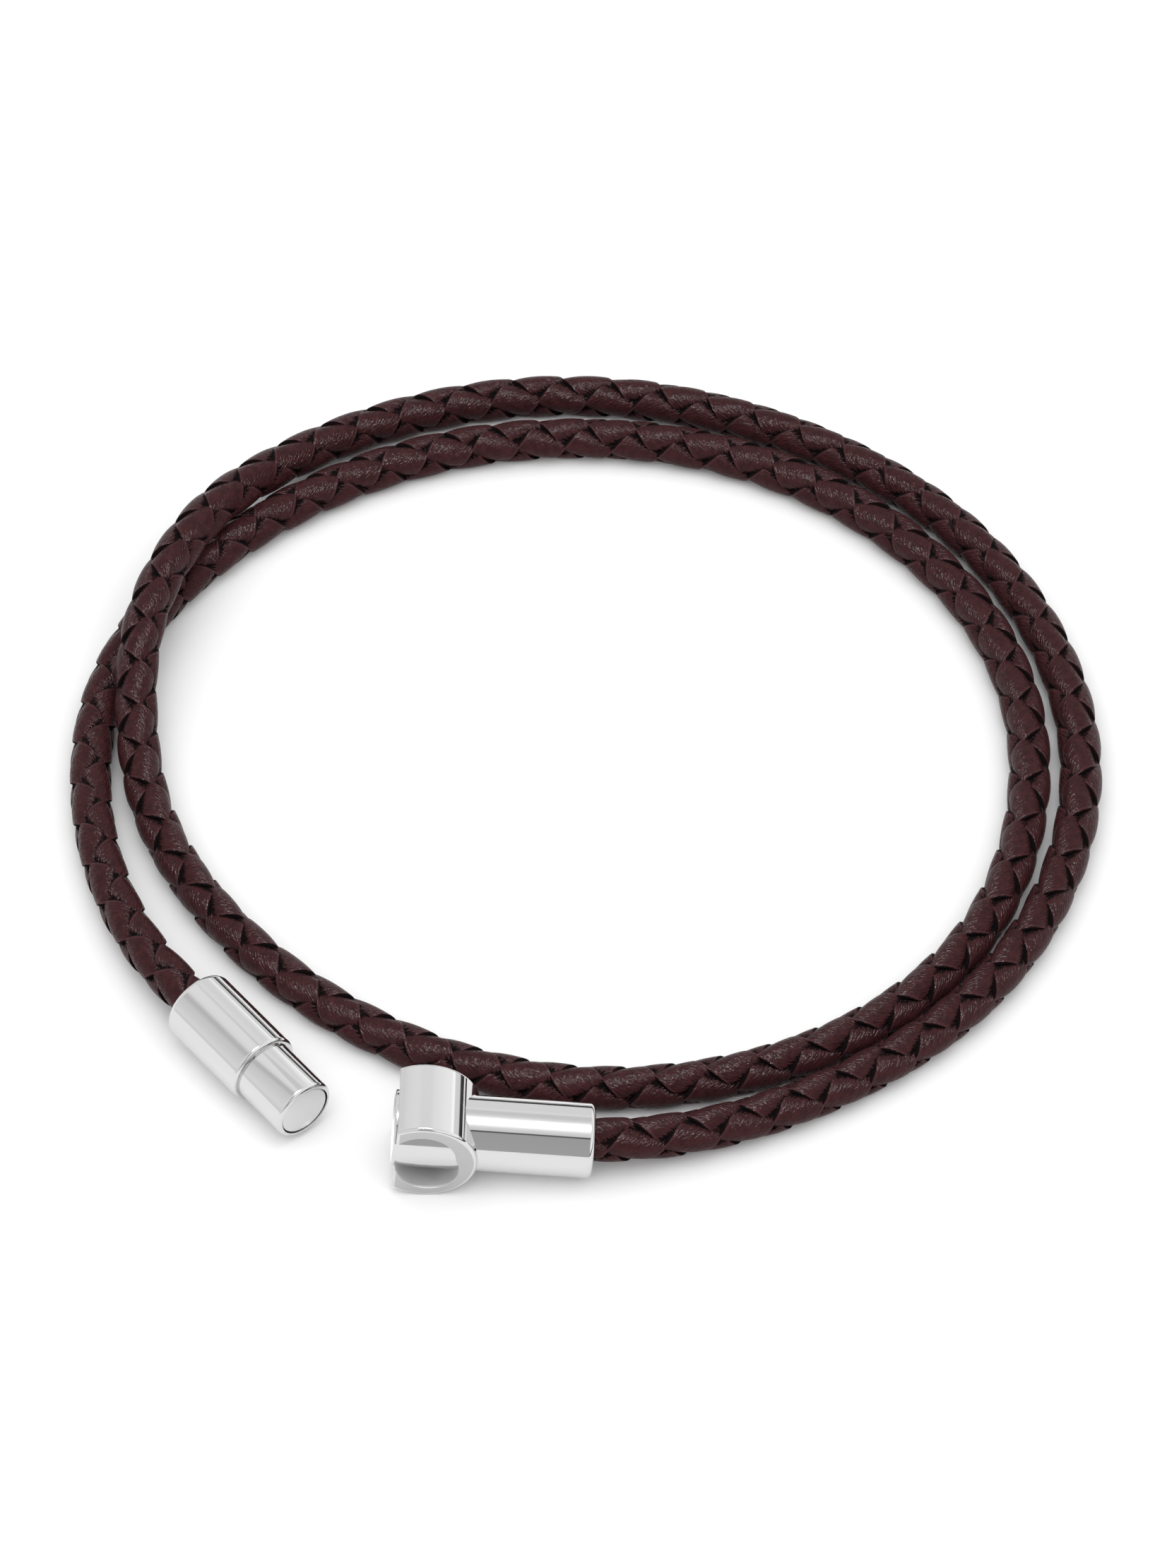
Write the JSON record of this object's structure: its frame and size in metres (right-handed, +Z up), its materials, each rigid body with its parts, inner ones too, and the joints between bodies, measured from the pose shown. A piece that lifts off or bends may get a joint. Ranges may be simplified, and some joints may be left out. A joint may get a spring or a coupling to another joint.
{
  "type": "braided leather bracelet",
  "caption": "Double-wrap bracelet of round braided leather cord with a polished steel magnetic push-in clasp, lying open in its two loops.",
  "frame": {"origin": "on the surface that the bracelet lies on, under the middle of its outline", "axes": "+Z up from the surface; the open clasp is on the -Y side, with its tube running along +X to the cord"},
  "size_m": [0.0746, 0.077, 0.0073],
  "materials": {
    "dark_leather": "satin plaited hide, dark brown with a red cast",
    "polished_steel": "mirror-polished stainless steel",
    "satin_magnet": "satin nickel-plated magnet"
  },
  "bodies": {
    "root": {"braid_cord": "dark_leather", "end_cap": "polished_steel", "cap_magnet": "satin_magnet", "clasp_socket": "polished_steel"}
  },
  "joints": []
}
